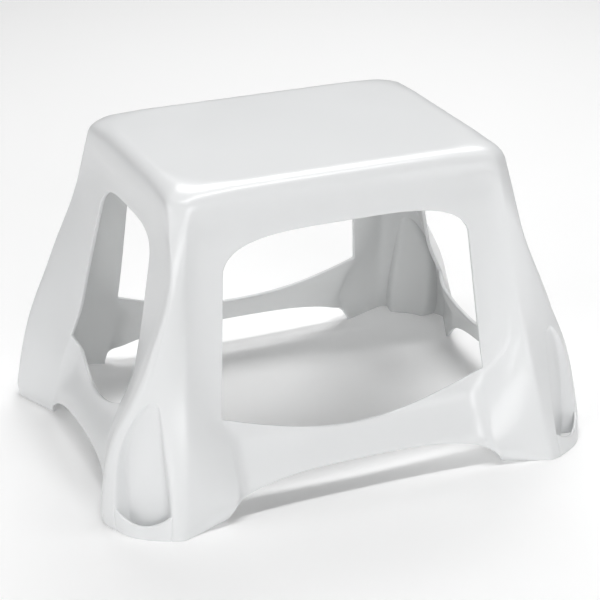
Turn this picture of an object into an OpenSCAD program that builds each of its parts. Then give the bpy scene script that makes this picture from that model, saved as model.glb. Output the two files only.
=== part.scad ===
// One-step moulded stool: a flared, hollow, thin-walled plastic shell.
// Frame: X along the long side, -Y the front, Z up, origin on the floor under the middle.
// The real stool is a single moulding; each node below is one named region of it and
// neighbouring regions meet face to face without overlap.

/* [Overall] */
// floor to step surface
stool_height = 240; // [200:1:280]
// moulded wall thickness
wall = 3; // [2:0.25:5]

/* [Front and rear panels] */
// half depth of the panel plane at floor level
panel_depth_floor = 128; // [110:1:150]
// half depth of the panel plane at step level
panel_depth_top = 96.5; // [80:1:115]
// how far the skirt of the long sides flares past the panel plane
skirt_front = 14.4; // [0:0.2:25]

/* [Side panels] */
// half width of the panel plane at floor level
panel_width_floor = 173.5; // [150:1:200]
// half width of the panel plane at step level
panel_width_top = 125; // [105:1:150]
// how far the skirt of the short sides flares past the panel plane
skirt_side = 10.4; // [0:0.2:20]

/* [Skirt] */
// height where the skirt starts to flare
skirt_start = 56; // [40:1:70]
// height over which the skirt reaches its full flare
skirt_run = 38; // [20:1:50]

/* [Boots] */
// how far the boot of each leg stands past the long panel plane
boot_front = 22.7; // [15:0.1:28]
// how far the boot tucks back in at the floor on the long side
boot_tuck = 8.3; // [0:0.1:12]
// height over which the long side of the boot swells out below the window corner
boot_rise = 56; // [20:1:70]
// half distance between the inner edges of two boots on the long side
boot_edge = 103.5; // [95:0.5:106]
// width of the hollow blend between rail and boot on the long side
boot_blend = 12; // [8:1:30]
// how far the boot of each leg stands past the short panel plane
boot_side = 10.7; // [6:0.1:16]
// height at which the short side of the boot starts to swell out
boot_start_side = 115; // [75:1:140]
// height at which the short side of the boot is fully out
boot_full_side = 45; // [30:1:60]
// how much higher the long side of the boot starts at its ridge than at the window
boot_lift = 45; // [0:1:60]
// half distance between the inner edges of two boots on the short side
boot_edge_side = 62; // [50:0.5:65]
// width of the hollow blend between rail and boot on the short side
boot_blend_side = 16; // [8:1:30]

/* [Long windows] */
// half width of the window at its lower corners
window_half = 106.6; // [90:0.2:115]
// half width the window sides would reach at step level
window_half_top = 93.4; // [80:0.2:105]
// half width of the skirt arch where it meets the floor
arch_half = 113.5; // [100:0.5:120]

/* [Short windows] */
// half width of the window at its lower corners
side_window_half = 65.5; // [50:0.5:75]
// half width the window sides would reach at step level
side_window_top = 50; // [40:0.5:65]
// outward bow of the window sides at mid height
side_window_bow = 7; // [0:0.5:12]
// half width of the skirt arch where it meets the floor
side_arch_half = 73; // [60:0.5:85]

/* [Window heights] */
// lower corners of all four windows
sill_corner = 70.5; // [60:0.5:80]
// lowest point of the window sills
sill_middle = 49; // [40:0.5:60]
// height where the window sides start to round into the head
spring = 166; // [150:1:180]
// rise of the window head of the long sides above the spring line
head_rise = 36.3; // [20:0.1:45]
// rise of the window head of the short sides above the spring line
side_head_rise = 31.3; // [20:0.1:45]
// squareness of the window heads
head_square = 3.6; // [2:0.1:6]

/* [Skirt arches] */
// clear height under the long skirts
arch_rise = 26; // [15:0.5:40]
// clear height under the short skirts
side_arch_rise = 23; // [15:0.5:40]
// squareness of the skirt arches
arch_square = 2.8; // [2:0.1:5]

/* [Corner columns] */
// ridge beside the long panel, across, at five equal height stations from the floor up
ridge1_x = [150, 141.5, 133, 127.5, 120]; // [100:0.5:170]
// ridge beside the long panel, along depth
ridge1_y = [156, 140, 121, 108, 99]; // [90:0.5:170]
// ridge beside the short panel, across
ridge2_x = [198, 187, 162.5, 140, 133.5]; // [120:0.5:210]
// ridge beside the short panel, along depth
ridge2_y = [110, 106.5, 114, 108.5, 84.5]; // [70:0.5:120]
// how late the flank of the long panel rises toward its ridge
flank_power = [1, 1.1, 2.2, 3.6, 4]; // [1:0.1:4.5]
// how late the flank of the short panel rises toward its ridge
flank_power_side = [1, 1, 1.1, 2.4, 4]; // [1:0.1:4.5]
// outward bow of the face between the ridges at the floor
bow_floor = 8; // [0:0.5:15]
// outward bow of the face between the ridges at the top
bow_top = 1; // [0:0.1:5]

/* [Foot scoops] */
// top of the scoop
scoop_height = 97; // [70:1:120]
// depth of the scoop behind its lip at the floor
scoop_depth = 14; // [6:0.5:20]
// half width of the scoop as a share of the face between the ridges
scoop_half = 0.34; // [0.2:0.01:0.4]
// lip height at its middle
lip_middle = 9; // [5:0.5:20]
// extra lip height at its ends
lip_ends = 9; // [0:0.5:20]

/* [Step edge] */
// height of the rounded edge around the step
edge_round = 15; // [6:0.5:20]
// how far the flat part of the step stays inside the long panels
edge_inset = 14; // [6:0.5:20]
// how far the flat part of the step stays inside the short panels
edge_inset_side = 8; // [4:0.5:20]
// corner radius of the flat part of the step
deck_corner = 42; // [10:1:60]
// share of the ridge height that the step edge keeps at mid span of the long sides
edge_proud = 0.5; // [0:0.05:1]
// share of the ridge height that the step edge keeps at mid span of the short sides
edge_proud_side = 0.8; // [0:0.05:1]

/* [Ribs under the step] */
// rib depth below the step plate
rib_depth = 12; // [5:1:25]
// rib thickness
rib_thick = 2.2; // [1.5:0.1:4]

/* [Hidden] */
shell_white = [0.90, 0.91, 0.92];
H = stool_height;
Ze = H - edge_round;
mid_u = 0.47;
apex_half = 0.07;
wall_run = 0.07;
deck_x = plane_w(Ze) - edge_inset_side;
deck_y = plane_d(Ze) - edge_inset;

// height rows, measured from the floor; the first group lies beside the rails,
// the last group beside the aprons
low = [0, 9, 18, 27, 36, 48, 59, sill_corner];
mids = [82, 91, scoop_height, 108, 124, 145];
span = Ze - spring;
high = [for (f = [0, 0.17, 0.34, 0.5, 0.63, 0.75, 0.85, 0.93, 1]) spring + f * span];
rows = concat(low, mids, high);
low_v = [for (z = low) z / sill_corner];
high_v = [for (z = high) (z - spring) / span];
head_t = [-90, -78, -66, -54, -42, -28, -14, 0, 14, 28, 42, 54, 66, 78, 90];

function ease(t) = let (c = max(0, min(1, t))) c * c * (3 - 2 * c);
function sgn_pow(v, p) = (v < 0 ? -1 : 1) * pow(abs(v), p);

// value at height z of a list given at five equal stations, smooth through all of them
function at(v, z) =
    let (s = max(0, min(3.9999, 4 * z / H)), i = floor(s), t = s - i,
         a = i > 0 ? v[i - 1] : 2 * v[0] - v[1],
         d = i < 3 ? v[i + 2] : 2 * v[4] - v[3], b = v[i], c = v[i + 1])
    b + 0.5 * t * (c - a + t * (2 * a - 5 * b + 4 * c - d + t * (3 * (b - c) + d - a)));

function flare(z) = ease((skirt_start - z) / skirt_run);
// panel planes, the skirts below them, and the boots that stand out at the corners
function plane_d(z) = panel_depth_floor + (panel_depth_top - panel_depth_floor) * z / H;
function plane_w(z) = panel_width_floor + (panel_width_top - panel_width_floor) * z / H;
function boot_d(z, u) = plane_d(z) - boot_tuck * pow(max(0, 1 - z / 22), 2)
    + boot_front * ease((sill_corner + 3.5 + boot_lift * u - z) / (boot_rise + 8 + boot_lift * u));
function boot_w(z) = plane_w(z)
    + boot_side * ease((boot_start_side - z) / (boot_start_side - boot_full_side));
// half widths of the windows, carried down along the boots to the arches' feet
function toe(z) = pow(max(0, 1 - z / 25), 1.5);
function near_sill(z) = ease((z - sill_corner + 18) / 18);
function jamb(z) = z < sill_corner
    ? boot_edge + (window_half - boot_edge) * near_sill(z)
        + (arch_half - boot_edge) * toe(z)
    : window_half + (window_half_top - window_half) * (z - sill_corner) / (H - sill_corner);
function side_jamb(z) = z < sill_corner
    ? boot_edge_side + (side_window_half - boot_edge_side) * near_sill(z)
        + (side_arch_half - boot_edge_side) * toe(z)
    : let (t = (z - sill_corner) / (H - sill_corner))
      side_window_half + (side_window_top - side_window_half) * t
      + 4 * side_window_bow * t * (1 - t) * (1 - t);
// skirt surface, hollowing out toward the boot over the blend width
function skirt(gap, blend, low, high) = low + (high - low) * pow(max(0, 1 - gap / blend), 2);

// the panels are recessed below the step edge, less so at mid span
function rim(share, mid, z) =
    (mid + (1 - mid) * pow(min(1, abs(share)), 3)) * ease((z - H + 32) / 17);

// plan outline of one quarter at height z; q runs 0..5 from mid front to mid side:
// 0-1 long panel, 1-2 its flank, 2-3 face between ridges, 3-4 flank, 4-5 short panel
function plan(q, z) =
    let (a = [at(ridge1_x, z), at(ridge1_y, z)], b = [at(ridge2_x, z), at(ridge2_y, z)],
         e = jamb(z), k = side_jamb(z))
    q <= 2 ? let (u = max(0, q - 1), x = q <= 1 ? q * e : e + (a[0] - e) * u,
                  y = skirt(max(0, e - x), boot_blend, plane_d(z) + skirt_front * flare(z),
                            boot_d(z, u)))
        [x, y + (a[1] - y) * (1 - (1 - pow(u, at(flank_power, z)))
                                 * (1 - rim(x / a[0], edge_proud, z)))]
    : q < 3 ? let (u = q - 2, n = [a[1] - b[1], b[0] - a[0]] / norm(b - a),
                   bow = bow_top + (bow_floor - bow_top) * pow(1 - min(z, H) / H, 2.5))
        a + (b - a) * u + n * bow * 4 * u * (1 - u)
    : let (u = max(0, 4 - q), y = q >= 4 ? (5 - q) * k : k + (b[1] - k) * u,
           x = skirt(max(0, k - y), boot_blend_side, plane_w(z) + skirt_side * flare(z),
                     boot_w(z)))
        [x + (b[0] - x) * (1 - (1 - pow(u, at(flank_power_side, z)))
                               * (1 - rim(y / b[1], edge_proud_side, z))), y];

// outward direction across the plan line through two points
function across(f, g) = [f[1] - g[1], g[0] - f[0]] / norm(g - f);
function outward(q, z) = across(plan(q - 0.02, z), plan(q + 0.02, z));

// scoop: half width share, and depth behind the face
function scoop_w(z) = z < scoop_height
    ? max(apex_half, scoop_half * pow(1 - pow(z / scoop_height, 2.6), 1 / 2.6))
    : apex_half + (0.28 - apex_half) * ease((z - scoop_height) / 45);
function scoop_d(z) = scoop_depth * pow(max(0, 1 - z / scoop_height), 0.9);

// middle of the scoop between the ridges; it leans toward the outer ridge at its top
function scoop_mid(z) = mid_u + 0.13 * ease(z / scoop_height)
    * (1 - 0.8 * ease((z - scoop_height) / 60));

// stations of one leg row: [q, depth behind the face]
function leg_line(z) =
    let (h = scoop_w(z), c = scoop_mid(z), l = c - h, r = c + h, s = min(wall_run, h * 0.5),
         d = scoop_d(z))
    concat([for (q = [1, 1.25, 1.5, 1.68, 1.82, 1.93]) [q, 0]],
        [[2, 0], [2 + l * 0.5, 0], [2 + l, 0], [2 + l + s, 0.9 * d],
         [2 + c - (h - s) * 0.5, d], [2 + c, d], [2 + c + (h - s) * 0.5, d],
         [2 + r - s, 0.9 * d], [2 + r, 0], [2 + (1 + r) * 0.5, 0], [3, 0]],
        [for (q = [3.07, 3.18, 3.32, 3.5, 3.75, 4]) [q, 0]]);
function leg_outer(z) =
    [for (s = leg_line(z)) plan(s[0], z) - s[1] * outward(s[0], z)];
function leg_inner(z) =
    let (o = leg_outer(z), s = leg_line(z), m = len(o) - 1)
    [for (i = [0:m]) o[i] - wall * (i == 0 || i == m ? outward(s[i][0], z)
        : across(o[i - 1], o[i + 1]))];

// flips a quarter-plan point into another corner of the stool
function put(p, z, sx, sy) = [sx * p[0], sy * p[1], z];

// closed thin shell from an outer and an inner grid of equal size; turn = 1 when the
// outer grid is seen counter-clockwise from outside
module shell(outer, inner, turn) {
    m = len(outer[0]);
    n = len(outer);
    base = m * n;
    pts = [for (g = [outer, inner]) for (r = g) for (p = r) p];
    cells = [for (i = [0:n - 2]) for (j = [0:m - 2]) [i * m + j, i * m + j + 1,
        (i + 1) * m + j + 1, (i + 1) * m + j]];
    ring = concat([for (j = [0:m - 2]) j], [for (i = [0:n - 2]) i * m + m - 1],
        [for (j = [m - 1:-1:1]) (n - 1) * m + j], [for (i = [n - 1:-1:1]) i * m]);
    c = len(ring);
    tris = concat(
        [for (f = cells) each [[f[0], f[1], f[2]], [f[0], f[2], f[3]]]],
        [for (f = cells) each [[f[2] + base, f[1] + base, f[0] + base],
            [f[3] + base, f[2] + base, f[0] + base]]],
        [for (i = [0:c - 1]) let (a = ring[i], b = ring[(i + 1) % c])
            each [[a, a + base, b + base], [a, b + base, b]]]);
    polyhedron(points = pts,
        faces = turn > 0 ? tris : [for (f = tris) [f[2], f[1], f[0]]], convexity = 8);
}

module leg(sx, sy) {
    shell([for (z = rows) [for (p = leg_outer(z)) put(p, z, sx, sy)]],
        [for (z = rows) [for (p = leg_inner(z)) put(p, z, sx, sy)]], sx * sy);
}

module lip(sx, sy) {
    cols = [for (i = [-6:6]) i / 6];
    function edge_z(c) = lip_middle + lip_ends * c * c;
    function lip_at(c, v, deep) =
        let (z = v * edge_z(c), h = scoop_w(z), s = wall_run * deep / (0.9 * scoop_d(z)),
             q = 2 + scoop_mid(z) + c * (h - s))
        put(plan(q, z) - deep * outward(q, z), z, sx, sy);
    shell([for (v = [0, 0.5, 1]) [for (c = cols) lip_at(c, v, 0)]],
        [for (v = [0, 0.5, 1]) [for (c = cols) lip_at(c, v, wall * 0.8)]], sx * sy);
}

// signed plan point on a long (q = share) or a short (q = 5 - share) panel
function panel(long, share, z, deep) =
    let (q = long ? abs(share) : 5 - abs(share), g = share < 0 ? -1 : 1,
         p = plan(q, z) - deep * outward(q, z))
    long ? [g * p[0], -p[1], z] : [p[0], g * p[1], z];

// window head and skirt arch as shares of the half width
function head_share(t, n) = sgn_pow(sin(t), 2 / n);
function head_up(t, n) = pow(max(0, cos(t)), 2 / n);

module apron(long) {
    rise = long ? head_rise : side_head_rise;
    function row(v, deep) = [for (t = head_t)
        let (z0 = spring + rise * head_up(t, head_square), z = z0 + v * (Ze - z0))
        panel(long, head_share(t, head_square), z, deep)];
    shell([for (v = high_v) row(v, 0)], [for (v = high_v) row(v, wall)], 1);
}

module rail(long) {
    rise = long ? arch_rise : side_arch_rise;
    function row(v, deep) = [for (t = head_t)
        let (s = head_share(t, arch_square), z0 = rise * head_up(t, arch_square),
             z1 = sill_middle + (sill_corner - sill_middle) * s * s,
             z = z0 + v * (z1 - z0))
        panel(long, s, z, deep)];
    shell([for (v = low_v) row(v, 0)], [for (v = low_v) row(v, wall)], 1);
}

// nearest point of the flat deck outline to a quarter-plan point
function deck_near(p) =
    let (cx = deck_x - deck_corner, cy = deck_y - deck_corner)
    p[0] > cx && p[1] > cy
        ? let (d = [p[0] - cx, p[1] - cy]) [cx, cy] + d * deck_corner / norm(d)
        : p[1] > cy ? [p[0], deck_y] : [deck_x, p[1]];

// one quarter of the outline at the foot of the step edge: [outer, inner, deck]
quarter = let (long_q = [for (t = head_t) if (t >= 0) head_share(t, head_square)],
        line = leg_line(Ze),
        qs = concat(long_q, [for (i = [1:len(line) - 1]) line[i][0]],
            [for (i = [len(long_q) - 2:-1:0]) 5 - long_q[i]]),
        leg_in = leg_inner(Ze), n = len(long_q))
    [for (i = [0:len(qs) - 1]) let (p = plan(qs[i], Ze))
        [p, i >= n - 1 && i < n - 1 + len(leg_in) ? leg_in[i - n + 1]
            : p - wall * outward(qs[i], Ze), deck_near(p)]];
last = len(quarter) - 1;
function turned(s, sx, sy) = [for (p = s) [sx * p[0], sy * p[1]]];
// counter-clockwise all round, starting at the middle of the right side
loop = concat(
    [for (i = [last:-1:1]) turned(quarter[i], 1, 1)],
    [for (i = [0:last - 1]) turned(quarter[i], -1, 1)],
    [for (i = [last:-1:1]) turned(quarter[i], -1, -1)],
    [for (i = [0:last - 1]) turned(quarter[i], 1, -1)]);

module step_edge() {
    angles = [90, 74, 58, 42, 28, 14, 0];
    function ring(a, side) = [for (s = loop)
        let (p = s[2] + (s[side] - s[2]) * sin(a))
        [p[0], p[1], Ze + (edge_round - (side == 1 ? wall : 0)) * cos(a)]];
    outer = [for (a = angles) ring(a, 0)];
    inner = [for (a = angles) ring(a, 1)];
    m = len(loop);
    n = len(angles);
    base = m * n;
    color(shell_white)
    polyhedron(points = [for (g = [outer, inner]) for (r = g) for (p = r) p],
        faces = [for (j = [0:m - 1]) let (k = (j + 1) % m) each concat(
            [for (i = [0:n - 2]) each [[i * m + k, i * m + j, (i + 1) * m + k],
                [i * m + j, (i + 1) * m + j, (i + 1) * m + k]]],
            [for (i = [0:n - 2]) each [
                [base + i * m + j, base + i * m + k, base + (i + 1) * m + k],
                [base + (i + 1) * m + j, base + i * m + j, base + (i + 1) * m + k]]],
            [[j, k, base + k], [j, base + k, base + j],
             [(n - 1) * m + k, (n - 1) * m + j, base + (n - 1) * m + j],
             [(n - 1) * m + k, base + (n - 1) * m + j, base + (n - 1) * m + k]])],
        convexity = 8);
}

module step_deck() {
    color(shell_white) translate([0, 0, H - wall]) linear_extrude(wall)
        polygon([for (s = loop) s[2]]);
}

// ribs hang from the step plate; the cross ribs stop at the long ribs
module rib_bars(x, y) translate([0, 0, H - wall - rib_depth / 2])
    cube([x, y, rib_depth], center = true);
rib_x = 2 * (deck_x - 10);
rib_y = 2 * (deck_y - 8);
long_y = [-0.55, 0, 0.55] * deck_y;
cross_y = concat([-rib_y / 2], long_y, [rib_y / 2]);

module ribs_long() color(shell_white)
    for (y = long_y) translate([0, y, 0]) rib_bars(rib_x, rib_thick);

module ribs_cross() color(shell_white)
    for (x = [-0.66, -0.22, 0.22, 0.66], i = [0:3]) {
        low_y = cross_y[i] + (i > 0 ? rib_thick / 2 : 0);
        high_y = cross_y[i + 1] - (i < 3 ? rib_thick / 2 : 0);
        translate([x * deck_x, (low_y + high_y) / 2, 0])
            rib_bars(rib_thick, high_y - low_y);
    }

module apron_front() color(shell_white) apron(true);
module apron_rear() color(shell_white) rotate(180) apron(true);
module apron_right() color(shell_white) apron(false);
module apron_left() color(shell_white) rotate(180) apron(false);
module leg_front_left() color(shell_white) leg(-1, -1);
module leg_front_right() color(shell_white) leg(1, -1);
module leg_rear_left() color(shell_white) leg(-1, 1);
module leg_rear_right() color(shell_white) leg(1, 1);
module lip_front_left() color(shell_white) lip(-1, -1);
module lip_front_right() color(shell_white) lip(1, -1);
module lip_rear_left() color(shell_white) lip(-1, 1);
module lip_rear_right() color(shell_white) lip(1, 1);
module rail_front() color(shell_white) rail(true);
module rail_rear() color(shell_white) rotate(180) rail(true);
module rail_right() color(shell_white) rail(false);
module rail_left() color(shell_white) rotate(180) rail(false);

step_deck();
ribs_long();
ribs_cross();
step_edge();
apron_front();
apron_rear();
apron_left();
apron_right();
leg_front_left();
leg_front_right();
leg_rear_left();
leg_rear_right();
lip_front_left();
lip_front_right();
lip_rear_left();
lip_rear_right();
rail_front();
rail_rear();
rail_left();
rail_right();
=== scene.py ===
import math

import bpy
import numpy as np
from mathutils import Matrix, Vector


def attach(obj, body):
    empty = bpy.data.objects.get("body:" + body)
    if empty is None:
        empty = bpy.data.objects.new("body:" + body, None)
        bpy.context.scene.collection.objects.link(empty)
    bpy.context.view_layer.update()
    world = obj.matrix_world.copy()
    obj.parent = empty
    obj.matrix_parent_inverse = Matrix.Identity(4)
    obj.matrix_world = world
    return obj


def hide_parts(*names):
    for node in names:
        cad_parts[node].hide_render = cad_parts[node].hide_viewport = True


# ---------------------------------------------------------------------------------------
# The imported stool, and the camera.
# The stool stands on the floor with its long side along X and its front toward -Y. The
# camera looks down at it from the front left with a long lens.
# ---------------------------------------------------------------------------------------
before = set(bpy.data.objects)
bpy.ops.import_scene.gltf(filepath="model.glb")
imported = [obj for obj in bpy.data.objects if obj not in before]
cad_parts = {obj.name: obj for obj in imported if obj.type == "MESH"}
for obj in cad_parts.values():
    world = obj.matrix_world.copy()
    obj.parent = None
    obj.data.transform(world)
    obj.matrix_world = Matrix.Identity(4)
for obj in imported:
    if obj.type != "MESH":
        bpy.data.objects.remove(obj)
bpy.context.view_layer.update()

view_azimuth, view_height, view_distance = math.radians(-23.33), math.radians(24.25), 1.517
toward_camera = Vector((
    math.sin(view_azimuth) * math.cos(view_height),
    -math.cos(view_azimuth) * math.cos(view_height),
    math.sin(view_height),
))
camera_lens = bpy.data.cameras.new("studio_camera")
camera_lens.lens = 115.0
camera_lens.sensor_width = 36.0
camera_lens.clip_start, camera_lens.clip_end = 0.05, 30.0
camera = bpy.data.objects.new("studio_camera", camera_lens)
bpy.context.scene.collection.objects.link(camera)
view_centre = Vector((0.0061, 0.0, 0.0961))
camera.location = view_centre + toward_camera * view_distance
camera.rotation_euler = (-toward_camera).to_track_quat("-Z", "Y").to_euler()
bpy.context.scene.camera = camera
bpy.context.scene.view_settings.view_transform = "Standard"

# ---------------------------------------------------------------------------------------
# The moulded plastic: white polypropylene with a fine spark-eroded grain.
# Every part of the stool is moulded from it in one shot, so the outside, the inside, the foot
# lips and the ribs share one grain; the inside and the ribs are duller, and painted a shade
# darker as painted shade.
# ---------------------------------------------------------------------------------------
grain = bpy.data.node_groups.new("moulded_grain", "ShaderNodeTree")
for label, low, high, preset in (
    ("Grain Size", 0.0, 6000.0, 2600.0), ("Grain Depth", 0.0, 2.0, 1.0),
    ("Tone Spread", 0.0, 1.0, 0.012), ("Gloss Low", 0.0, 1.0, 0.30),
    ("Gloss High", 0.0, 1.0, 0.40), ("Scuff", 0.0, 1.0, 0.1),
):
    socket = grain.interface.new_socket(label, in_out="INPUT", socket_type="NodeSocketFloat")
    socket.default_value, socket.min_value, socket.max_value = preset, low, high
socket = grain.interface.new_socket("Plastic", in_out="INPUT", socket_type="NodeSocketColor")
socket.default_value = (0.8, 0.8, 0.8, 1.0)
grain.interface.new_socket("Colour", in_out="OUTPUT", socket_type="NodeSocketColor")
grain.interface.new_socket("Gloss", in_out="OUTPUT", socket_type="NodeSocketFloat")
grain.interface.new_socket("Relief", in_out="OUTPUT", socket_type="NodeSocketFloat")


def put_node(tree, kind, at, **settings):
    node = tree.nodes.new(kind)
    node.location = at
    for key, value in settings.items():
        setattr(node, key, value)
    return node


def join(tree, *pairs):
    for source, target in pairs:
        tree.links.new(source, target)


given = put_node(grain, "NodeGroupInput", (-1400, 0))
out = put_node(grain, "NodeGroupOutput", (900, 0))
place = put_node(grain, "ShaderNodeTexCoord", (-1400, -400))
# fine pitted grain of the tool, with a second coarser octave
pits = put_node(grain, "ShaderNodeTexNoise", (-900, 300))
pits.inputs["Detail"].default_value = 3.0
pits.inputs["Roughness"].default_value = 0.62
relief = put_node(grain, "ShaderNodeMath", (200, 300), operation="MULTIPLY")
# slow drift in tone where the melt flowed and cooled
flow = put_node(grain, "ShaderNodeTexNoise", (-900, 0))
flow.inputs["Scale"].default_value = 9.0
flow.inputs["Detail"].default_value = 2.0
flow.inputs["Distortion"].default_value = 0.6
lighten = put_node(grain, "ShaderNodeMapRange", (-600, 0))
lighten.interpolation_type = "SMOOTHERSTEP"
lighten.inputs["From Min"].default_value, lighten.inputs["From Max"].default_value = 0.1, 0.9
down = put_node(grain, "ShaderNodeMath", (-900, 150), operation="SUBTRACT")
down.inputs[0].default_value = 1.0
# scuffs: scattered short dull marks, strongest low on the feet
marks = put_node(grain, "ShaderNodeTexNoise", (-900, -350))
marks.inputs["Scale"].default_value = 60.0
marks.inputs["Detail"].default_value = 6.0
marks.inputs["Roughness"].default_value = 0.7
spots = put_node(grain, "ShaderNodeMapRange", (-600, -350))
spots.interpolation_type = "SMOOTHERSTEP"
spots.inputs["From Min"].default_value, spots.inputs["From Max"].default_value = 0.5, 0.8
split = put_node(grain, "ShaderNodeSeparateXYZ", (-900, -600))
foot = put_node(grain, "ShaderNodeMapRange", (-600, -600))
foot.inputs["From Min"].default_value, foot.inputs["From Max"].default_value = 0.012, 0.0
foot.inputs["To Min"].default_value, foot.inputs["To Max"].default_value = 0.0, 1.0
worn = put_node(grain, "ShaderNodeMath", (-350, -450), operation="MULTIPLY")
scuffed = put_node(grain, "ShaderNodeMath", (-150, -450), operation="MULTIPLY")
# painted highlight: the sharpest convex edges are painted a touch paler
form = put_node(grain, "ShaderNodeNewGeometry", (-900, -850))
edges = put_node(grain, "ShaderNodeMapRange", (-600, -850))
edges.inputs["From Min"].default_value, edges.inputs["From Max"].default_value = 0.53, 0.62
edges.inputs["To Max"].default_value = 0.02
# colour tone: the slow melt drift plus the painted edge highlight
tone = put_node(grain, "ShaderNodeMath", (-100, -50), operation="ADD")
dim = put_node(grain, "ShaderNodeMath", (100, -50), operation="MULTIPLY_ADD")
dim.inputs[1].default_value = -0.06
tint = put_node(grain, "ShaderNodeVectorMath", (450, 0), operation="SCALE")
gloss = put_node(grain, "ShaderNodeMapRange", (200, -300))
gloss.inputs["From Min"].default_value, gloss.inputs["From Max"].default_value = 0.25, 0.75
dull = put_node(grain, "ShaderNodeMath", (500, -300), operation="MULTIPLY_ADD", use_clamp=True)
dull.inputs[1].default_value = 0.25
join(grain,
     (place.outputs["Object"], pits.inputs["Vector"]),
     (given.outputs["Grain Size"], pits.inputs["Scale"]),
     (pits.outputs["Fac"], relief.inputs[0]),
     (given.outputs["Grain Depth"], relief.inputs[1]),
     (relief.outputs[0], out.inputs["Relief"]),
     (place.outputs["Object"], flow.inputs["Vector"]),
     (flow.outputs["Fac"], lighten.inputs["Value"]),
     (given.outputs["Tone Spread"], down.inputs[1]),
     (down.outputs[0], lighten.inputs["To Min"]),
     (place.outputs["Object"], marks.inputs["Vector"]),
     (marks.outputs["Fac"], spots.inputs["Value"]),
     (place.outputs["Object"], split.inputs["Vector"]),
     (split.outputs["Z"], foot.inputs["Value"]),
     (spots.outputs["Result"], worn.inputs[0]),
     (foot.outputs["Result"], worn.inputs[1]),
     (worn.outputs[0], scuffed.inputs[0]),
     (given.outputs["Scuff"], scuffed.inputs[1]),
     (form.outputs["Pointiness"], edges.inputs["Value"]),
     (lighten.outputs["Result"], tone.inputs[0]),
     (edges.outputs["Result"], tone.inputs[1]),
     (scuffed.outputs[0], dim.inputs[0]),
     (tone.outputs[0], dim.inputs[2]),
     (given.outputs["Plastic"], tint.inputs[0]),
     (dim.outputs[0], tint.inputs["Scale"]),
     (tint.outputs["Vector"], out.inputs["Colour"]),
     (flow.outputs["Fac"], gloss.inputs["Value"]),
     (given.outputs["Gloss Low"], gloss.inputs["To Min"]),
     (given.outputs["Gloss High"], gloss.inputs["To Max"]),
     (scuffed.outputs[0], dull.inputs[0]),
     (gloss.outputs["Result"], dull.inputs[2]),
     (dull.outputs[0], out.inputs["Gloss"]))


def plastic(name, colour, values, bump_height):
    """One finish of the white plastic: values go to the grain group, by its input names."""
    material = bpy.data.materials.new(name)
    material.use_nodes = True
    tree = material.node_tree
    shader = next(n for n in tree.nodes if n.type == "BSDF_PRINCIPLED")
    group = put_node(tree, "ShaderNodeGroup", (-600, 0), node_tree=grain)
    group.inputs["Plastic"].default_value = (*colour, 1.0)
    for key, value in values.items():
        group.inputs[key].default_value = value
    bump = put_node(tree, "ShaderNodeBump", (-300, -250))
    bump.inputs["Strength"].default_value = 1.0
    bump.inputs["Distance"].default_value = bump_height
    join(tree,
         (group.outputs["Colour"], shader.inputs["Base Color"]),
         (group.outputs["Gloss"], shader.inputs["Roughness"]),
         (group.outputs["Relief"], bump.inputs["Height"]),
         (bump.outputs["Normal"], shader.inputs["Normal"]))
    shader.inputs["IOR"].default_value = 1.49
    shader.inputs["Coat Weight"].default_value = 0.25
    shader.inputs["Coat Roughness"].default_value = 0.12
    return material


satin_white = plastic("satin_white_plastic", (0.83, 0.84, 0.845), {
    "Grain Size": 2600.0, "Grain Depth": 1.0, "Tone Spread": 0.015,
    "Gloss Low": 0.29, "Gloss High": 0.34, "Scuff": 0.3,
}, 0.00004)
# inside skin and ribs: a duller finish, and a colour painted a shade darker than the outside as
# painted shade
shaded_inner_white = plastic("shaded_inner_plastic", (0.80, 0.81, 0.81), {
    "Grain Size": 1800.0, "Grain Depth": 1.0, "Tone Spread": 0.03,
    "Gloss Low": 0.42, "Gloss High": 0.55, "Scuff": 0.8,
}, 0.00003)

# ---------------------------------------------------------------------------------------
# The shell: step, rounded edge, four hollow legs, aprons and rails in one moulding.
# White polypropylene, 3 mm wall, drawn off the tool downward, so every wall leans
# outward toward the floor. Windows are shut off in the tool and their rims stay crisp.
# ---------------------------------------------------------------------------------------
stool_height, wall = 240.0, 3.0
panel_depth_floor, panel_depth_top, skirt_front = 128.0, 96.5, 14.4
panel_width_floor, panel_width_top, skirt_side = 173.5, 125.0, 10.4
skirt_start, skirt_run = 56.0, 38.0
# the boots stand out at the feet; on the long side they start higher toward the ridge
boot_front, boot_start, boot_run, boot_lift = 22.7, 74.0, 64.0, 45.0
boot_edge, boot_blend, boot_tuck, boot_tuck_height = 103.5, 10.0, 8.3, 22.0
boot_side, boot_start_side, boot_run_side = 10.7, 101.0, 61.0
boot_edge_side, boot_blend_side = 62.0, 16.0
toe_tuck, toe_tuck_height = 4.0, 15.0
window_half, window_half_top, arch_half = 106.6, 93.4, 113.5
side_window_half, side_window_top, side_window_bow, side_arch_half = 62.0, 50.0, 9.0, 73.0
sill_corner, sill_middle, sill_run, spring = 70.5, 49.0, 18.0, 166.0
head_rise, side_head_rise, head_square = 36.3, 31.3, 3.6
arch_rise, side_arch_rise, arch_square, arch_spread = 26.0, 23.0, 2.8, 25.0
# ridge lines as they lie before they are rounded over
ridge1_x, ridge1_y = (151, 142, 133.5, 128, 120.5), (157.5, 141.5, 122.5, 109.5, 99.5)
ridge2_x, ridge2_y = (201, 190, 165, 141, 134), (112, 109.5, 118, 110, 85)
flank_power, flank_power_side = (1, 1.1, 2.2, 3.6, 4), (1, 1, 1.1, 2.4, 4)
ridge_round, ridge_round_mid, ridge_round_top = 0.085, 0.155, 0.09
bow_floor, bow_top = 8.0, 1.0
edge_round, edge_inset, edge_inset_side, deck_corner = 15.0, 14.0, 8.0, 42.0
edge_proud, edge_proud_side, edge_run, edge_run_side = 0.5, 0.8, 17.0, 32.0
edge_foot = stool_height - edge_round
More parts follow.
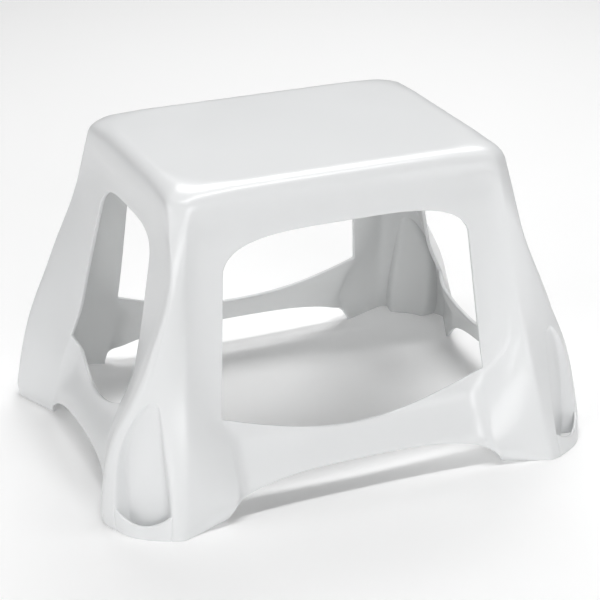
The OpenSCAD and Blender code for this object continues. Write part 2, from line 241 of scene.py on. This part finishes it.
# scoop widths are shares of the face between the ridges
scoop_height, scoop_depth, scoop_half, scoop_square = 97.0, 14.0, 0.34, 2.6
scoop_middle, scoop_lean, scoop_wall = 0.47, 0.13, 0.065
apex_half, top_half, apex_run = 0.07, 0.28, 45.0


def ease(t):
    """Smooth step from 0 to 1."""
    c = np.clip(t, 0, 1)
    return c * c * (3 - 2 * c)


def near_floor(z, height, power):
    """1 at the floor, falling to 0 at the given height."""
    return np.clip(1 - z / height, 0, 1) ** power


def at(v, z):
    """Value at height z of a list given at five equal stations from the floor up."""
    v = np.array([2 * v[0] - v[1], *v, 2 * v[4] - v[3]], float)
    s = np.clip(4 * z / stool_height, 0, 3.9999)
    i = np.floor(s).astype(int)
    t = s - i
    a, b, c, d = v[i], v[i + 1], v[i + 2], v[i + 3]
    return b + 0.5 * t * (c - a + t * (2 * a - 5 * b + 4 * c - d + t * (3 * (b - c) + d - a)))


def panel_depth(z):
    return panel_depth_floor + (panel_depth_top - panel_depth_floor) * z / stool_height


def panel_width(z):
    return panel_width_floor + (panel_width_top - panel_width_floor) * z / stool_height


def swell(z, start, run):
    """How far a boot has swollen out below the height where it starts."""
    return ease((start - z) / run)


def boot_line(z, edge, window, arch):
    """Half width at a boot's inner edge, from the arch's foot to the window corner."""
    return (edge + (window - edge) * ease((z - sill_corner + sill_run) / sill_run)
            + (arch - edge) * near_floor(z, arch_spread, 1.5))


def jamb(z):
    """Half width of the long window, and of the boots' inner edges below it."""
    low = boot_line(z, boot_edge, window_half, arch_half)
    t = (z - sill_corner) / (stool_height - sill_corner)
    return np.where(z < sill_corner, low, window_half + (window_half_top - window_half) * t)


def side_jamb(z):
    """The same for the short window, whose sides bow outward."""
    low = boot_line(z, boot_edge_side, side_window_half, side_arch_half)
    t = (z - sill_corner) / (stool_height - sill_corner)
    high = (side_window_half + (side_window_top - side_window_half) * t
            + 4 * side_window_bow * t * (1 - t) ** 2)
    return np.where(z < sill_corner, low, high)


def proud(share, mid, run, z):
    """How much of the ridge height the wall keeps just under the step edge."""
    return ((mid + (1 - mid) * np.clip(np.abs(share), 0, 1) ** 3)
            * ease((z - edge_foot + run) / run))


def outline(q, z):
    """Plan of one quarter at height z, q from 0 at mid front to 5 at mid side."""
    q, z = np.broadcast_arrays(np.asarray(q, float), np.asarray(z, float))
    ax, ay, bx, by = at(ridge1_x, z), at(ridge1_y, z), at(ridge2_x, z), at(ridge2_y, z)
    e, k = jamb(z), side_jamb(z)
    flare = ease((skirt_start - z) / skirt_run)
    # long panel and its flank
    u = np.clip(q - 1, 0, 1)
    x1 = np.where(q <= 1, q * e, e + (ax - e) * u)
    low = panel_depth(z) + skirt_front * flare
    lift = boot_lift * u
    boot = (panel_depth(z) + boot_front * swell(z, boot_start + lift, boot_run + lift)
            - boot_tuck * near_floor(z, boot_tuck_height, 2))
    gap = np.clip(1 - np.maximum(0, e - x1) / boot_blend, 0, 1) ** 2
    y1 = low + (boot - low) * gap
    y1 = y1 + (ay - y1) * (1 - (1 - u ** at(flank_power, z))
                           * (1 - proud(x1 / ax, edge_proud, edge_run, z)))
    # face between the ridges
    v = np.clip(q - 2, 0, 1)
    face_width = np.hypot(bx - ax, by - ay)
    bow = (bow_top + (bow_floor - bow_top)
           * near_floor(z, stool_height, 2.5)) * 4 * v * (1 - v)
    x2 = ax + (bx - ax) * v + (ay - by) / face_width * bow
    y2 = ay + (by - ay) * v + (bx - ax) / face_width * bow
    # short panel and its flank
    w = np.clip(4 - q, 0, 1)
    y3 = np.where(q >= 4, (5 - q) * k, k + (by - k) * w)
    low = panel_width(z) + skirt_side * flare
    boot = panel_width(z) + boot_side * swell(z, boot_start_side, boot_run_side)
    gap = np.clip(1 - np.maximum(0, k - y3) / boot_blend_side, 0, 1) ** 2
    x3 = low + (boot - low) * gap
    x3 = x3 + (bx - x3) * (1 - (1 - w ** at(flank_power_side, z))
                           * (1 - proud(y3 / by, edge_proud_side, edge_run_side, z)))
    x = np.where(q <= 2, x1, np.where(q < 3, x2, x3))
    y = np.where(q <= 2, y1, np.where(q < 3, y2, y3))
    # the outer corner of the foot tucks in just above the floor
    return x - toe_tuck * near_floor(z, toe_tuck_height, 2) * ease((q - 2.5) / 0.4), y


def rounded(q, z):
    """The plan with its two ridges rounded over; the outer one is softest at mid height."""
    q, z = np.broadcast_arrays(np.asarray(q, float), np.asarray(z, float))
    near = np.minimum(np.abs(q - 2), np.abs(q - 3))
    soft = ease((z - 70) / 45) * ease((205 - z) / 45) * ease((q - 2.45) / 0.1)
    r = ridge_round + ridge_round_mid * soft + ridge_round_top * ease((z - 205) / 20)
    r = r * np.clip(2 - near / 0.2, 0, 1)
    x = y = 0
    for step, share in ((-1, 0.11), (-0.5, 0.22), (0, 0.34), (0.5, 0.22), (1, 0.11)):
        px, py = outline(q + step * r, z)
        x, y = x + share * px, y + share * py
    return x, y


def facing(q, z):
    """Outward direction of the plan."""
    x0, y0 = rounded(q - 0.02, z)
    x1, y1 = rounded(q + 0.02, z)
    d = np.hypot(x1 - x0, y1 - y0)
    return (y0 - y1) / d, (x1 - x0) / d


def scoop_reach(z):
    """Half width of the scoop; above its apex the stations only fan out again."""
    arch = np.clip(1 - (np.minimum(z, scoop_height) / scoop_height) ** scoop_square, 0, 1)
    below = np.maximum(apex_half, scoop_half * arch ** (1 / scoop_square))
    above = apex_half + (top_half - apex_half) * ease((z - scoop_height) / apex_run)
    return np.where(z < scoop_height, below, above)


def scoop_centre(z):
    """Middle of the scoop between the ridges; it leans toward the outer ridge at its top."""
    return scoop_middle + (scoop_lean * ease(z / scoop_height)
                           * (1 - 0.8 * ease((z - scoop_height) / 60)))


def scoop_drop(z):
    """Depth of the scoop behind the face, with a small step at its apex."""
    return (0.9 * scoop_depth * near_floor(z, scoop_height, 0.9)
            + 0.1 * scoop_depth * ease((scoop_height + 1 - z) / 5))


# one point cloud and one list of quads for the outside, welded by position
points, quads, corners = [], [], {}


def weld(x, y, z):
    """Index of the point, shared with any patch that meets there."""
    key = (round(x * 500), round(y * 500), round(z * 500))
    if key not in corners:
        corners[key] = len(points)
        points.append((x, y, z))
    return corners[key]


def add_patch(x, y, z, turn):
    """A grid of outside points; turn is 1 where it reads counter-clockwise from outside."""
    ids = [[weld(x[i, j], y[i, j], z[i, j]) for j in range(x.shape[1])]
           for i in range(x.shape[0])]
    for i in range(x.shape[0] - 1):
        for j in range(x.shape[1] - 1):
            loop = [ids[i][j], ids[i][j + 1], ids[i + 1][j + 1], ids[i + 1][j]]
            loop = [p for n, p in enumerate(loop) if p != loop[n - 1]]
            if len(set(loop)) > 2:
                quads.append(loop if turn > 0 else loop[::-1])


def between(stops, counts):
    """Stations from stop to stop, evenly spaced within each stretch."""
    return np.concatenate([np.linspace(a, b, n, endpoint=False)
                           for a, b, n in zip(stops, stops[1:], counts)] + [[stops[-1]]])


# the arches leave the legs a little above the floor, and the window heads a little above
# the spring line
leave, arch_foot, head_foot = 0.99, 7.0, 179.5
low_share = between((0, 0.3, 0.8, 1), (5, 12, 6))
low_rows = arch_foot + low_share * (sill_corner - arch_foot)
mid_rows = between((sill_corner, 82, 92, 99, 106, 145, head_foot), (4, 4, 6, 3, 8, 7))
high_share = between((0, 0.45, 1), (4, 10))
high_rows = head_foot + high_share * (edge_foot - head_foot)
rows = np.concatenate([[0, 1.5, 4], low_rows, mid_rows[1:], high_rows[1:]])

# stations of a leg: its two flanks, the face between the ridges, and the scoop in it
flank1 = between((1, 1.03, 1.6, 1.88, 2), (1, 6, 6, 5))
flank2 = between((3, 3.12, 3.4, 3.97, 4), (5, 6, 6, 1))
scoop_t = between((-1, -0.79, 0, 0.79, 1), (6, 5, 5, 6))


def leg_row(z):
    """Stations q and depths behind the face for one height."""
    h, d = float(scoop_reach(z)), float(scoop_drop(z))
    c = float(scoop_centre(z))
    left, right = 2 + c - h, 2 + c + h
    side = between((2, 2.08, left - 0.03, left), (4, 4, 2))
    far = between((right, right + 0.03, 2.92, 3), (2, 4, 4))
    s = min(scoop_wall, h * 0.5) / h
    gap = np.clip((1 - np.abs(scoop_t)) / s, 0, 1)
    depth = d * (0.94 * ease(gap) + 0.06 * (1 - scoop_t ** 2))
    depth[0] = depth[-1] = 0
    q = np.concatenate([flank1[:-1], side[:-1], 2 + c + h * scoop_t, far[1:],
                        flank2[1:]])
    deep = np.concatenate([0 * flank1[:-1], 0 * side[:-1], depth, 0 * far[1:],
                           0 * flank2[1:]])
    return q, deep


table = [leg_row(z) for z in rows]
leg_q = np.array([r[0] for r in table])
leg_deep = np.array([r[1] for r in table])
leg_z = np.repeat(rows[:, None], leg_q.shape[1], axis=1)
leg_x, leg_y = rounded(leg_q, leg_z)
out_x, out_y = facing(leg_q, leg_z)
leg_x, leg_y = leg_x - leg_deep * out_x, leg_y - leg_deep * out_y
quarters = ((1, 1), (-1, 1), (1, -1), (-1, -1))
for sx, sy in quarters:
    add_patch(sx * leg_x, sy * leg_y, leg_z, -sx * sy)

# aprons over the windows and rails under them; both follow rounded-square curves
turn = np.concatenate([np.linspace(-1, -0.6, 9)[:-1], np.linspace(-0.6, 0.6, 19),
                       np.linspace(0.6, 1, 9)[1:]])


def square_curve(n, foot, top):
    """Rounded-square arch: shares of the half width, and heights from foot to top."""
    t = turn * np.arcsin(leave ** (n / 2))
    up = np.cos(t) ** (2 / n)
    share = np.sign(t) * np.abs(np.sin(t)) ** (2 / n) / leave
    return share[None, :], foot + (top - foot) * ((up - up[0]) / (1 - up[0]))[None, :]


def across_panel(long, share, z):
    """Points on a long or a short panel, by share of its half width."""
    g = np.where(share < 0, -1, 1)
    x, y = rounded(np.abs(share) if long else 5 - np.abs(share), z)
    return (g * x, y) if long else (x, g * y)


for long, rise, arch in ((True, head_rise, arch_rise), (False, side_head_rise, side_arch_rise)):
    share, foot = square_curve(head_square, head_foot, spring + rise)
    z = foot + high_share[:, None] * (edge_foot - foot)
    ax, ay = across_panel(long, share + 0 * z, z)
    share, foot = square_curve(arch_square, arch_foot, arch)
    brow = sill_middle + (sill_corner - sill_middle) * share ** 2
    rz = foot + low_share[:, None] * (brow - foot)
    rx, ry = across_panel(long, share + 0 * rz, rz)
    for g in (1, -1):
        if long:
            add_patch(ax, g * ay, z, -g)
            add_patch(rx, g * ry, rz, -g)
        else:
            add_patch(g * ax, ay, z, g)
            add_patch(g * rx, ry, rz, g)

# rounded edge from the walls up to the flat step, then the step itself
deck_x = panel_width(edge_foot) - edge_inset_side
deck_y = panel_depth(edge_foot) - edge_inset


def to_step(x, y):
    """Nearest point on the outline of the flat step."""
    cx, cy = deck_x - deck_corner, deck_y - deck_corner
    dx, dy = x - cx, y - cy
    far = np.hypot(dx, dy)
    corner = (dx > 0) & (dy > 0)
    flat_y = ~corner & (dy > 0)
    nx = np.where(corner, cx + dx * deck_corner / far, np.where(flat_y, x, deck_x))
    ny = np.where(corner, cy + dy * deck_corner / far, np.where(flat_y, deck_y, y))
    return nx, ny


long_q = square_curve(head_square, 0, 1)[0][0][turn >= -1e-9]
rim_q = np.concatenate([long_q, table[-1][0][1:], 5 - long_q[-2::-1]])
rim_x, rim_y = rounded(rim_q, edge_foot + 0 * rim_q)
below_x, below_y = rounded(rim_q, edge_foot - 2 + 0 * rim_q)
lean_x, lean_y = (rim_x - below_x) / 2 * edge_round, (rim_y - below_y) / 2 * edge_round
step_x, step_y = to_step(rim_x, rim_y)
bend = np.radians(np.linspace(0, 90, 13))[:, None]
in_way, up_way = 1 - np.cos(bend) ** 0.8, np.sin(bend) ** 0.7
edge_x = rim_x + (step_x - rim_x - lean_x) * in_way + lean_x * up_way
edge_y = rim_y + (step_y - rim_y - lean_y) * in_way + lean_y * up_way
edge_z = edge_foot + edge_round * up_way + 0 * rim_x[None, :]
# rings on the step shrink toward a middle line
shrink = between((1, 0.96, 0.5, 0.04), (2, 8, 6))[1:, None]
mid_x, mid_y = (deck_x - deck_y) * np.clip(step_x / deck_x, 0, 1), 0 * step_y
ring_x = mid_x + (step_x - mid_x) * shrink
ring_y = mid_y + (step_y - mid_y) * shrink
ring_z = stool_height + 0 * ring_x
last_x, last_y = mid_x[None, :], mid_y[None, :]
edge_x = np.concatenate([edge_x, ring_x, last_x])
edge_y = np.concatenate([edge_y, ring_y, last_y])
edge_z = np.concatenate([edge_z, ring_z, stool_height + 0 * last_x])
for sx, sy in quarters:
    add_patch(sx * edge_x, sy * edge_y, edge_z, -sx * sy)

outside = np.array(points)

# neighbours, and which points lie on an open rim
pairs = {}
for f in quads:
    for a, b in zip(f, f[1:] + f[:1]):
        pairs[(a, b)] = pairs.get((a, b), 0) + 1
rim_pairs = [(a, b) for a, b in pairs if (b, a) not in pairs]
on_rim = np.zeros(len(outside), bool)
on_rim[[p for pair in rim_pairs for p in pair]] = True
links = np.array([(a, b) for a, b in pairs], int)


def soften(values, rounds, held):
    """Averages values over neighbouring points; held points stay."""
    values = values.copy()
    both = np.concatenate([links, links[:, ::-1]])
    count = np.bincount(both[:, 0], minlength=len(values))[:, None]
    for _ in range(rounds):
        total = np.zeros_like(values)
        for axis in range(values.shape[1]):
            total[:, axis] = np.bincount(both[:, 0], values[both[:, 1], axis], len(values))
        moved = 0.5 * values + 0.5 * total / count
        values = np.where(held[:, None], values, moved)
    return values


flat_step = outside[:, 2] > stool_height - 0.01
outside = soften(outside, 2, on_rim | flat_step)


def directions(spots):
    """Outward direction at each point, from the faces around it."""
    total = np.zeros_like(spots)
    for f in quads:
        a, b, c, d = spots[f[0]], spots[f[1]], spots[f[2]], spots[f[-1]]
        n = np.cross(c - a, d - b)
        size = np.linalg.norm(n)
        if size > 1e-12:
            for p in f:
                total[p] += n / size
    return total / np.maximum(np.linalg.norm(total, axis=1), 1e-9)[:, None]


# the inner skin lies one wall behind the outer one
smooth_normal = soften(directions(outside), 6, np.zeros(len(outside), bool))
floor_ring = outside[:, 2] < 0.01
smooth_normal[floor_ring, 2] = 0
smooth_normal /= np.linalg.norm(smooth_normal, axis=1)[:, None]
inside = outside - wall * smooth_normal
inside = soften(inside, 2, on_rim)
count = len(outside)
shell_faces = [tuple(f) for f in quads]
shell_faces += [tuple(p + count for p in f[::-1]) for f in quads]

# rims: a small radius at the outer and the inner edge, with the cut wall between
rim_radius = 0.7
after, before = {}, {}
for a, b in rim_pairs:
    after[a], before[b] = b, a
rim_ids = sorted(after)
ahead = np.array([after[p] for p in rim_ids])
behind = np.array([before[p] for p in rim_ids])
step_in = outside[rim_ids] - outside[behind]
step_out = outside[ahead] - outside[rim_ids]
side_in = np.cross(smooth_normal[rim_ids], step_in)
side_out = np.cross(smooth_normal[rim_ids], step_out)
side_in /= np.linalg.norm(side_in, axis=1)[:, None]
side_out /= np.linalg.norm(side_out, axis=1)[:, None]
into = side_in + side_out
into /= np.maximum((into * into).sum(1) / 2, 0.6)[:, None]
depth_way = smooth_normal[rim_ids]
outer_rim, inner_rim = outside[rim_ids], inside[rim_ids]
bands = []
for angle in np.radians((30, 60, 90)):
    bands.append(outer_rim + rim_radius * (into * (1 - np.sin(angle))
                                           - depth_way * (1 - np.cos(angle))))
for angle in np.radians((90, 60, 30)):
    bands.append(inner_rim + rim_radius * (into * (1 - np.sin(angle))
                                           + depth_way * (1 - np.cos(angle))))
outside[rim_ids] += rim_radius * into
inside[rim_ids] += rim_radius * into
place_of = {p: n for n, p in enumerate(rim_ids)}
shell_points = np.concatenate([outside, inside, *bands]) / 1000
loops = [np.array(rim_ids)]
loops += [2 * count + len(rim_ids) * n + np.arange(len(rim_ids)) for n in range(len(bands))]
loops += [np.array(rim_ids) + count]
rim_faces = []
for a, b in rim_pairs:
    i, j = place_of[a], place_of[b]
    for near, far in zip(loops, loops[1:]):
        rim_faces.append((int(near[j]), int(near[i]), int(far[i]), int(far[j])))
shell_mesh = bpy.data.meshes.new("stool_shell")
shell_mesh.from_pydata(shell_points.tolist(), [], shell_faces + rim_faces)
shell_mesh.polygons.foreach_set("use_smooth", [True] * len(shell_mesh.polygons))
kinds = [0] * len(quads) + [1] * len(quads) + [0] * len(rim_faces)
shell_mesh.polygons.foreach_set("material_index", kinds)
shell_mesh.materials.append(satin_white)
shell_mesh.materials.append(shaded_inner_white)
shell = bpy.data.objects.new("stool_shell", shell_mesh)
bpy.context.scene.collection.objects.link(shell)
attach(shell, "root")
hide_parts("step_deck", "step_edge",
            "apron_front", "apron_rear", "apron_left", "apron_right",
            "leg_front_left", "leg_front_right", "leg_rear_left", "leg_rear_right",
            "rail_front", "rail_rear", "rail_left", "rail_right")

# ---------------------------------------------------------------------------------------
# The foot lips: a thin curved band across the open bottom of each foot scoop.
# Moulded in with the leg; its ends run into the scoop's edges, and the gap behind it is
# open to the floor.
# ---------------------------------------------------------------------------------------
lip_middle, lip_ends, lip_wall, lip_overlap, lip_sink = 9.0, 9.0, 2.4, 0.012, 0.9
lip_c = np.linspace(-1.0, 1.0, 33)
lip_v = between((0, 0.12, 0.85, 1), (1, 5, 2))


def lip_sheet(deep, trim):
    """Rows from the floor to the saddle-shaped top, set back by deep and cut down by trim."""
    top = lip_middle + lip_ends * lip_c ** 2 - trim
    z = lip_v[:, None] * (top - trim)[None, :] + trim
    q = 2 + scoop_centre(z) + lip_c[None, :] * (scoop_reach(z) + lip_overlap)
    x, y = rounded(q, z)
    nx, ny = facing(q, z)
    sink = deep + lip_sink * np.clip((np.abs(lip_c) - 0.9) / 0.1, 0, 1)[None, :] ** 2
    return np.stack([x - sink * nx, y - sink * ny, z], axis=2)


for sx, sy, corner in ((-1, -1, "front_left"), (1, -1, "front_right"),
                       (-1, 1, "rear_left"), (1, 1, "rear_right")):
    # front face, its rounded edges, then the back face: one closed tube of rows
    skins = [lip_sheet(0.0, 0.7), lip_sheet(lip_wall, 0.7)]
    tops = [lip_sheet(d, t)[-1] for d, t in ((0.2, 0.2), (0.7, 0.0), (1.7, 0.0), (2.2, 0.2))]
    feet = [lip_sheet(d, t)[0] for d, t in ((2.2, 0.2), (1.7, 0.0), (0.7, 0.0), (0.2, 0.2))]
    around = np.concatenate([skins[0], tops, skins[1][::-1], feet])
    around = around * np.array([sx, sy, 1.0]) / 1000
    n, m = around.shape[0], around.shape[1]
    sides = [(i * m + j, i * m + j + 1, (i + 1) % n * m + j + 1, (i + 1) % n * m + j)
             for i in range(n) for j in range(m - 1)]
    sides.append(tuple(i * m for i in range(n)))
    sides.append(tuple(i * m + m - 1 for i in range(n))[::-1])
    if sx * sy > 0:
        sides = [f[::-1] for f in sides]
    lip_mesh = bpy.data.meshes.new("lip_band_" + corner)
    lip_mesh.from_pydata(around.reshape(-1, 3).tolist(), [], sides)
    lip_mesh.polygons.foreach_set("use_smooth", [True] * len(lip_mesh.polygons))
    lip_mesh.materials.append(satin_white)
    lip = bpy.data.objects.new("lip_band_" + corner, lip_mesh)
    bpy.context.scene.collection.objects.link(lip)
    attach(lip, "root")
    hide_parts("lip_" + corner)

# ---------------------------------------------------------------------------------------
# The ribs under the step: a grid of thin upright webs that stiffens the step plate.
# Moulded in with the step; three run the long way and four the short way.
# ---------------------------------------------------------------------------------------
rib_depth, rib_thick = 12.0, 2.2
rib_length, rib_width = 2 * (deck_x - 10), 2 * (deck_y - 8)
rib_tree = bpy.data.node_groups.new("rib_grid", "GeometryNodeTree")
rib_tree.interface.new_socket("Geometry", in_out="OUTPUT", socket_type="NodeSocketGeometry")
sizes = {}
for label, preset in (
    ("Length", rib_length), ("Width", rib_width), ("Depth", rib_depth),
    ("Thickness", rib_thick), ("Long Spread", 1.1 * deck_y),
    ("Cross Spread", 1.32 * deck_x), ("Underside", stool_height - wall + 0.5),
):
    socket = rib_tree.interface.new_socket(label, in_out="INPUT",
                                           socket_type="NodeSocketFloat")
    socket.default_value = preset / 1000
    sizes[label] = socket
socket = rib_tree.interface.new_socket("Plastic", in_out="INPUT",
                                       socket_type="NodeSocketMaterial")
plastic_socket = socket.identifier
given = put_node(rib_tree, "NodeGroupInput", (-1200, 0))
out = put_node(rib_tree, "NodeGroupOutput", (1200, 0))
merge = put_node(rib_tree, "GeometryNodeJoinGeometry", (500, 0))
for row, (spread, number, length_of) in enumerate(
        (("Long Spread", 3, "Length"), ("Cross Spread", 4, "Width"))):
    y = 300 - 600 * row
    far = put_node(rib_tree, "ShaderNodeMath", (-900, y - 100), operation="MULTIPLY")
    far.inputs[1].default_value = 0.5
    near = put_node(rib_tree, "ShaderNodeMath", (-900, y - 250), operation="MULTIPLY")
    near.inputs[1].default_value = -0.5
    start = put_node(rib_tree, "ShaderNodeCombineXYZ", (-700, y - 250))
    end = put_node(rib_tree, "ShaderNodeCombineXYZ", (-700, y - 100))
    axis = "Y" if row == 0 else "X"
    line = put_node(rib_tree, "GeometryNodeMeshLine", (-500, y), mode="END_POINTS")
    line.inputs["Count"].default_value = number
    bar = put_node(rib_tree, "GeometryNodeMeshCube", (-300, y - 300))
    size = put_node(rib_tree, "ShaderNodeCombineXYZ", (-500, y - 300))
    copies = put_node(rib_tree, "GeometryNodeInstanceOnPoints", (0, y))
    real = put_node(rib_tree, "GeometryNodeRealizeInstances", (200, y))
    join(rib_tree,
         (given.outputs[spread], far.inputs[0]), (given.outputs[spread], near.inputs[0]),
         (near.outputs[0], start.inputs[axis]), (far.outputs[0], end.inputs[axis]),
         (start.outputs[0], line.inputs["Start Location"]),
         (end.outputs[0], line.inputs["Offset"]),
         (given.outputs[length_of], size.inputs["X" if row == 0 else "Y"]),
         (given.outputs["Thickness"], size.inputs["Y" if row == 0 else "X"]),
         (given.outputs["Depth"], size.inputs["Z"]),
         (size.outputs[0], bar.inputs["Size"]),
         (line.outputs["Mesh"], copies.inputs["Points"]),
         (bar.outputs["Mesh"], copies.inputs["Instance"]),
         (copies.outputs["Instances"], real.inputs["Geometry"]),
         (real.outputs["Geometry"], merge.inputs["Geometry"]))
half_depth = put_node(rib_tree, "ShaderNodeMath", (300, -400), operation="MULTIPLY_ADD")
half_depth.inputs[1].default_value = -0.5
lift = put_node(rib_tree, "ShaderNodeCombineXYZ", (500, -400))
raise_grid = put_node(rib_tree, "GeometryNodeTransform", (700, 0))
paint = put_node(rib_tree, "GeometryNodeSetMaterial", (900, 0))
join(rib_tree,
     (given.outputs["Depth"], half_depth.inputs[0]),
     (given.outputs["Underside"], half_depth.inputs[2]),
     (half_depth.outputs[0], lift.inputs["Z"]),
     (merge.outputs["Geometry"], raise_grid.inputs["Geometry"]),
     (lift.outputs[0], raise_grid.inputs["Translation"]),
     (raise_grid.outputs["Geometry"], paint.inputs["Geometry"]),
     (given.outputs["Plastic"], paint.inputs["Material"]),
     (paint.outputs["Geometry"], out.inputs["Geometry"]))
ribs = bpy.data.objects.new("step_ribs", bpy.data.meshes.new("step_ribs"))
bpy.context.scene.collection.objects.link(ribs)
grid = ribs.modifiers.new("rib_grid", "NODES")
grid.node_group = rib_tree
for label, socket in sizes.items():
    grid[socket.identifier] = socket.default_value
grid[plastic_socket] = shaded_inner_white
edge = ribs.modifiers.new("rib_edges", "BEVEL")
edge.width, edge.segments, edge.limit_method = 0.0005, 2, "ANGLE"
finished = bpy.data.meshes.new_from_object(
    ribs.evaluated_get(bpy.context.evaluated_depsgraph_get()))
ribs.modifiers.clear()
ribs.data = finished
finished.name = "step_ribs"
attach(ribs, "root")
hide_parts("ribs_long", "ribs_cross")

# ---------------------------------------------------------------------------------------
# The studio: a plain pale floor, four soft boxes, three slim strips whose reflections
# draw the ridges of the legs, and a faint white surround.
# ---------------------------------------------------------------------------------------
floor_mesh = bpy.data.meshes.new("pale_floor")
floor_mesh.from_pydata([(-6, -6, 0), (6, -6, 0), (6, 6, 0), (-6, 6, 0)], [], [(0, 1, 2, 3)])
floor = bpy.data.objects.new("pale_floor", floor_mesh)
bpy.context.scene.collection.objects.link(floor)
paper = bpy.data.materials.new("pale_paper")
paper.use_nodes = True
sheet = next(n for n in paper.node_tree.nodes if n.type == "BSDF_PRINCIPLED")
sheet.inputs["Base Color"].default_value = (0.95, 0.95, 0.95, 1.0)
sheet.inputs["Emission Color"].default_value = (1.0, 1.0, 1.0, 1.0)
sheet.inputs["Emission Strength"].default_value = 0.09
sheet.inputs["Roughness"].default_value = 0.9
sheet.inputs["Specular IOR Level"].default_value = 0.1
floor_mesh.materials.append(paper)

surround = bpy.data.worlds.new("white_surround")
bpy.context.scene.world = surround
surround.use_nodes = True
glow = next(n for n in surround.node_tree.nodes if n.type == "BACKGROUND")
glow.inputs["Color"].default_value = (1.0, 1.0, 1.0, 1.0)
glow.inputs["Strength"].default_value = 0.02

lamp_aim = Vector((0.0, 0.0, 0.12))
for name, spot, width, height, power in (
    ("top_softbox", (0.0, -0.12, 1.82), 1.6, 0.25, 16.2),
    ("front_softbox", (-0.19, -2.18, 0.83), 1.2, 1.1, 17.6),
    ("right_strip", (0.95, -2.0, 0.3), 0.1, 0.9, 1.8),
    ("left_softbox", (-2.16, -0.08, 0.91), 1.2, 1.2, 9.4),
    ("left_strip", (-2.11, -1.12, 0.33), 0.12, 0.8, 3.5),
    ("ridge_strip", (-1.15, -2.08, 0.3), 0.1, 0.9, 3.0),
    ("back_softbox", (0.71, 1.22, 1.8), 1.4, 1.0, 23.2),
):
    lamp = bpy.data.lights.new(name, "AREA")
    lamp.shape, lamp.size, lamp.size_y, lamp.energy = "RECTANGLE", width, height, power
    holder = bpy.data.objects.new(name, lamp)
    bpy.context.scene.collection.objects.link(holder)
    holder.location = spot
    holder.rotation_euler = (lamp_aim - Vector(spot)).to_track_quat("-Z", "Y").to_euler()
